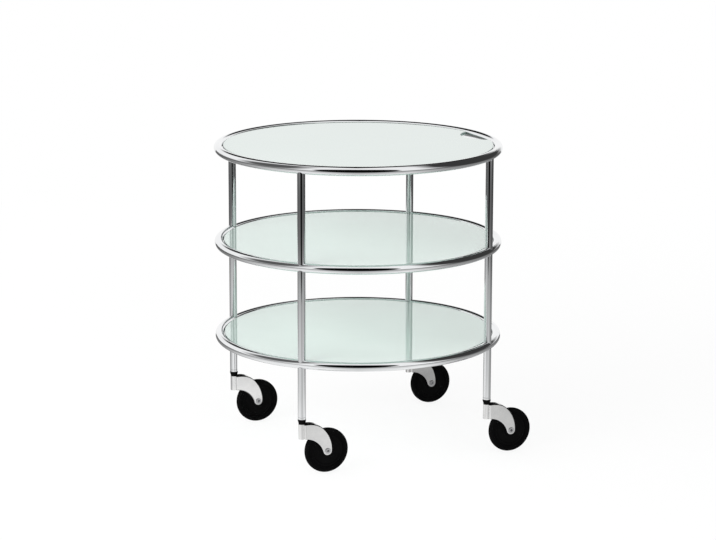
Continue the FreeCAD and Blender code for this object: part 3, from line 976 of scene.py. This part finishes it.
@dataclass
class Studio:
    """Camera, lamps, floor, backdrop and dark screens.

    Attributes:
        target: point in the middle of the picture.
        azimuth: the camera's direction, in degrees.
        elevation: the camera's height, in degrees.
        distance: camera to target.
        focal: focal length in pixels of the picture.
        sensor: width of the camera's sensor, in millimetres.
        sight: how far the camera sees.
        roll: turn of the picture, in degrees clockwise.
        ambient: even light on what isn't polished.
        overhead: power of the lamp above, in watts.
        key: power of the lamp in front of the favoured side, in watts.
        band: mean power of the lamps of the low ring, in watts.
        low_lamps: number of those lamps.
        lean: how much stronger those are on the favoured side.
        favoured: azimuth of the favoured side, in degrees to the right of the camera.
        floor_reach: half the floor's width.
        floor_tone: grey level of the floor.
        floor_fade: radii between which the floor turns into the plain backdrop.
        floor_share: share of the plain backdrop in the floor beside the table.
        cards: the dark screens.
        card_steps: points across and up a screen.
        card_foot: least height of a screen above the floor.
        skirt: the dark far floor and the disc.
    """

    target: tuple[float, float, float] = (0.0, 0.0, 0.3143)
    azimuth: float = -22.18
    elevation: float = 12.474
    distance: float = 4.6727
    focal: float = 2587.4
    sensor: float = 36.0
    sight: float = 200.0
    roll: float = 0.12
    ambient: float = 0.35
    overhead: float = 10.0
    key: float = 38.0
    band: float = 20.0
    low_lamps: int = 8
    lean: float = 0.4
    favoured: float = -50.0
    floor_reach: float = 60.0
    floor_tone: float = 0.97
    floor_fade: tuple[float, float] = (0.5, 2.4)
    floor_share: float = 0.86
    cards: tuple[Card, ...] = (
        Card("front_screen", (-34.0, 32.0), (-14.0, 50.0), distance=1.6, tone=0.004, soft=0.05),
        Card("right_screen", (46.0, 158.0), (-16.0, 78.0), distance=1.6, tone=0.045, soft=0.14),
        Card("left_screen", (-108.0, -34.0), (-12.0, 84.0), distance=1.6, tone=0.110, soft=0.24),
        Card("rear_screen", (140.0, 227.0), (16.0, 90.0), distance=12.0, tone=0.012, soft=0.06),
    )
    card_steps: tuple[int, int] = (48, 32)
    card_foot: float = 0.002
    skirt: Skirt = Skirt()

    def aim(self, azimuth: float | np.ndarray, elevation: float | np.ndarray) -> np.ndarray:
        """Direction from the table, by azimuth and elevation in degrees."""
        a, e = np.radians(azimuth), np.radians(elevation)
        return np.stack((np.sin(a) * np.cos(e), -np.cos(a) * np.cos(e), np.sin(e) + 0 * a), axis=-1)

    def place_camera(self) -> None:
        """Camera at the photograph's angle, with its focal length."""
        lens = bpy.data.cameras.new("camera")
        lens.sensor_width = self.sensor
        lens.lens = self.focal * self.sensor / IMAGE_WIDTH
        lens.clip_end = self.sight
        camera = bpy.data.objects.new("camera", lens)
        back = Vector(self.aim(self.azimuth, self.elevation))
        camera.location = Vector(self.target) + self.distance * back
        turn = Quaternion((0.0, 0.0, 1.0), math.radians(self.roll))
        camera.rotation_euler = ((-back).to_track_quat("-Z", "Y") @ turn).to_euler()
        bpy.context.scene.collection.objects.link(camera)
        bpy.context.scene.camera = camera

    @staticmethod
    def seen_rays(graph: Graph, straight: object = 1.0) -> bpy.types.NodeSocket:
        """Mask of rays from polished surfaces and through glass, and a share of the camera's.

        Args:
            graph: the graph to add to.
            straight: the share for rays from the camera, a value or a socket.

        Returns:
            The mask.
        """
        path = graph.add("ShaderNodeLightPath").outputs
        mirrored_rays = graph.math("MAXIMUM", path["Is Glossy Ray"], path["Is Transmission Ray"])
        camera_rays = graph.math("MULTIPLY", path["Is Camera Ray"], straight)
        return graph.math("MAXIMUM", mirrored_rays, camera_rays)

    def light_world(self) -> None:
        """White backdrop where it is seen, softer even light for the rest."""
        world = bpy.data.worlds.new("backdrop")
        world.use_nodes = True
        graph = Graph(world.node_tree)
        swing = graph.math("MULTIPLY", self.seen_rays(graph), 1.0 - self.ambient)
        strength = graph.math("ADD", swing, self.ambient)
        paint = graph.add("ShaderNodeBackground", {"Color": WHITE, "Strength": strength})
        graph.add("ShaderNodeOutputWorld", {"Surface": paint.outputs["Background"]})
        bpy.context.scene.world = world

    def lay_floor(self) -> None:
        """Pale floor that keeps the shadow and otherwise meets the white backdrop."""
        corners = np.array(((-1, -1, 0), (1, -1, 0), (1, 1, 0), (-1, 1, 0)))
        floor = mesh_of("floor", self.floor_reach * corners, np.array(((0, 1, 2, 3),)))
        material = bpy.data.materials.new("pale_floor")
        material.use_nodes = True
        graph = Graph(material.node_tree)
        matt = graph.add("ShaderNodeBsdfDiffuse", {"Color": (*[self.floor_tone] * 3, 1.0)})
        glow = graph.add("ShaderNodeEmission", {"Color": WHITE, "Strength": 1.0})
        place = graph.add("ShaderNodeTexCoord").outputs["Object"]
        away = graph.add("ShaderNodeVectorMath", {0: place}, operation="LENGTH").outputs["Value"]
        fade = graph.add("ShaderNodeMapRange", {
            "Value": away, "From Min": self.floor_fade[0], "From Max": self.floor_fade[1],
            "To Min": self.floor_share, "To Max": 1.0})
        share = self.seen_rays(graph, fade.outputs["Result"])
        blend = graph.add("ShaderNodeMixShader", {
            0: share, 1: matt.outputs["BSDF"], 2: glow.outputs["Emission"]})
        graph.add("ShaderNodeOutputMaterial", {"Surface": blend.outputs["Shader"]})
        floor.data.materials.append(material)

    def lamps(self) -> list[Lamp]:
        """Lamp overhead, key lamp, and a ring of low lamps that reach between the shelves.

        A low lamp's power is the mean, times 1 plus the lean times the cosine of its angle from
        the favoured side.

        Returns:
            The lamps.
        """
        lamps = [Lamp("overhead_lamp", azimuth=10.0, elevation=78.0, distance=2.6, width=2.4,
                      power=self.overhead),
                 Lamp("key_lamp", azimuth=self.favoured, elevation=32.0, distance=3.2, width=2.0,
                      power=self.key)]
        for number in range(self.low_lamps):
            azimuth = 360.0 / self.low_lamps * (number + 0.5)
            power = self.band * (1 + self.lean * math.cos(math.radians(azimuth - self.favoured)))
            lamps.append(Lamp(f"low_lamp_{number + 1}", azimuth, elevation=14.0, distance=3.2,
                              width=2.6, power=power))
        return lamps

    def hang_lamp(self, lamp: Lamp) -> None:
        """Area lamp that shows neither in the picture nor in polished surfaces.

        Args:
            lamp: the lamp to hang.
        """
        light = bpy.data.lights.new(lamp.name, "AREA")
        light.shape = "RECTANGLE"
        light.size = lamp.width
        light.size_y = lamp.flatness * lamp.width
        light.energy = lamp.power
        hung = bpy.data.objects.new(lamp.name, light)
        out = Vector(self.aim(self.azimuth + lamp.azimuth, lamp.elevation))
        hung.location = Vector(self.target) + lamp.distance * out
        hung.rotation_euler = out.to_track_quat("Z", "Y").to_euler()
        hung.visible_glossy = False
        hung.visible_camera = False
        bpy.context.scene.collection.objects.link(hung)

    def stand_card(self, card: Card) -> None:
        """Patch of a sphere round the table, solid in the middle and clear at its border.

        Point (u, v) lies at the card's distance, in the direction whose azimuth and elevation
        run over the card's ranges with u and v.

        Args:
            card: the screen to stand.
        """
        across, tall = self.card_steps
        u, v = np.meshgrid(np.linspace(0, 1, across), np.linspace(0, 1, tall), indexing="ij")
        azimuth = self.azimuth + card.azimuth[0] + u * (card.azimuth[1] - card.azimuth[0])
        elevation = card.elevation[0] + v * (card.elevation[1] - card.elevation[0])
        points = np.array(self.target) + card.distance * self.aim(azimuth, elevation)
        points[..., 2] = np.maximum(points[..., 2], self.card_foot)
        self.hang_screen(card.name, points, card.cover(u, v), card.tone)

    def lay_skirt(self) -> None:
        """Dark far floor, and a dark disc under the lowest shelf that is seen only from below.

        Point (u, v) lies at angle u and radius v.
        """
        skirt = self.skirt
        around, outwards = skirt.steps
        angle, radius = np.meshgrid(np.linspace(-180.0, 180.0, around),
                                    np.geomspace(*skirt.span, outwards), indexing="ij")
        flat = self.aim(self.azimuth + angle, 0.0)
        points = radius[..., None] * flat + skirt.lift * UP
        self.hang_screen("far_floor", points, skirt.cover(angle, radius), skirt.tone)
        reach = np.linspace(0.0, skirt.disc_radius, outwards) + 0 * angle
        points = reach[..., None] * flat + (Tier.LOWER.value - skirt.disc_drop) * UP
        self.hang_screen("under_screen", points, np.ones(angle.shape), skirt.disc_tone, True)

    @staticmethod
    def hang_screen(name: str, points: np.ndarray, cover: np.ndarray, tone: float,
                    one_sided: bool = False) -> None:
        """Screen on a grid of points, seen by polished surfaces alone.

        The first image in a perfectly sharp mirror, here the panes of glass, leaves the screen
        out, so the panes mirror the white backdrop and the table itself.

        Args:
            name: name of the screen.
            points: array (rows, columns, 3).
            cover: array (rows, columns), 1 where the screen is solid and 0 where it is clear.
            tone: its grey level.
            one_sided: clear where it is seen from behind.
        """
        number = np.arange(cover.size).reshape(cover.shape)
        faces = np.stack((number[:-1, :-1], number[1:, :-1], number[1:, 1:], number[:-1, 1:]),
                         axis=-1)
        screen = mesh_of(name, points, faces.reshape(-1, 4))
        mark = screen.data.attributes.new("cover", "FLOAT", "POINT")
        mark.data.foreach_set("value", cover.astype(np.float32).ravel())
        material = bpy.data.materials.new(name)
        material.use_nodes = True
        graph = Graph(material.node_tree)
        share = graph.add("ShaderNodeAttribute", attribute_name="cover").outputs["Fac"]
        path = graph.add("ShaderNodeLightPath").outputs
        first = graph.math("LESS_THAN", path["Glossy Depth"], SECOND_IMAGE)
        sharp = graph.math("MULTIPLY", path["Is Singular Ray"], first)
        share = graph.math("MULTIPLY", share, graph.math("SUBTRACT", 1.0, sharp))
        if one_sided:
            back = graph.add("ShaderNodeNewGeometry").outputs["Backfacing"]
            share = graph.math("MULTIPLY", share, graph.math("SUBTRACT", 1.0, back))
        dark = graph.add("ShaderNodeEmission", {"Color": WHITE, "Strength": tone})
        clear = graph.add("ShaderNodeBsdfTransparent")
        blend = graph.add("ShaderNodeMixShader", {
            0: share, 1: clear.outputs["BSDF"], 2: dark.outputs["Emission"]})
        graph.add("ShaderNodeOutputMaterial", {"Surface": blend.outputs["Shader"]})
        screen.data.materials.append(material)
        screen.visible_camera = False
        screen.visible_diffuse = False
        screen.visible_transmission = False
        screen.visible_shadow = False

    def build(self) -> None:
        """Set up the whole studio."""
        self.place_camera()
        self.light_world()
        self.lay_floor()
        for lamp in self.lamps():
            self.hang_lamp(lamp)
        self.lay_skirt()
        for card in self.cards:
            self.stand_card(card)
        bpy.context.scene.view_settings.view_transform = "Standard"


def casters(joints: list[dict]) -> list[Caster]:
    """Casters placed by the part's own joints.

    Args:
        joints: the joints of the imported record.

    Returns:
        One caster for each swivel, with its wheel's centre and axle.
    """
    by_name = {joint["name"]: joint for joint in joints}
    made = []
    for number in range(1, 5):
        swivel, wheel = by_name[f"caster_{number}_swivel"], by_name[f"wheel_{number}_spin"]
        made.append(Caster(number, np.array(swivel["pos_m"]), np.array(wheel["pos_m"]),
                           unit(np.array(wheel["axis"], dtype=float))))
    return made


def dress_solids(frame: dict, wardrobe: Wardrobe) -> None:
    """Give every solid the finish that the record names for it.

    Args:
        wardrobe: the finishes.
    """
    for row in frame["record"]["subparts"]:
        wardrobe.dress(frame["nodes"][row["node"]], Slot(row["material_slot"]))
        LOG.info("%s wears %s", row["node"], row["material_slot"])


def main() -> None:
    """Load the frame, then build and dress each sub-assembly and the studio."""
    logging.basicConfig(level=logging.INFO, format="%(name)s: %(message)s")
    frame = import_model()
    wardrobe = Wardrobe()
    dress_solids(frame, wardrobe)
    Cage().build(wardrobe)
    for caster in casters(frame["joints"]):
        caster.build(wardrobe)
    Studio().build()


if __name__ == "__main__":
    main()
